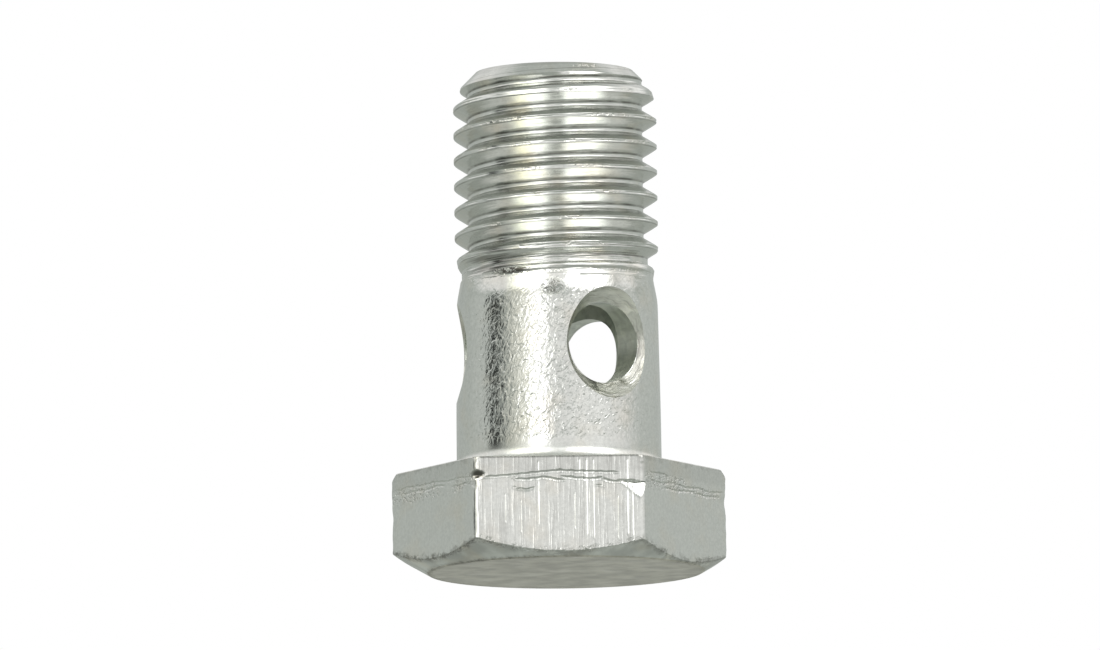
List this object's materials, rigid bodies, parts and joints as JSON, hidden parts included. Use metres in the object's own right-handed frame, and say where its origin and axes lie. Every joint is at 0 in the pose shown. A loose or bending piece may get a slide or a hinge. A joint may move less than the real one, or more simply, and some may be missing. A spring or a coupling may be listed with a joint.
{
  "type": "banjo bolt",
  "caption": "Hollow hexagon-head banjo bolt with cross holes in the shank: it clamps a banjo fitting to a port and feeds fluid through its own bore.",
  "frame": {"origin": "centre of the head's outer end face, which the bolt stands on", "axes": "+Z along the bolt's axis from the head to the tip of the thread; +X through a corner of the hexagon; -Y square to a flat"},
  "size_m": [0.0196, 0.0168, 0.0293],
  "materials": {
    "zinc_plated_steel": "bright zinc plate on a cold-formed steel bolt: satin, finely pebbled on the shank, drawn streaks down the flats of the head"
  },
  "bodies": {
    "root": {"banjo_bolt": "zinc_plated_steel"}
  },
  "joints": []
}
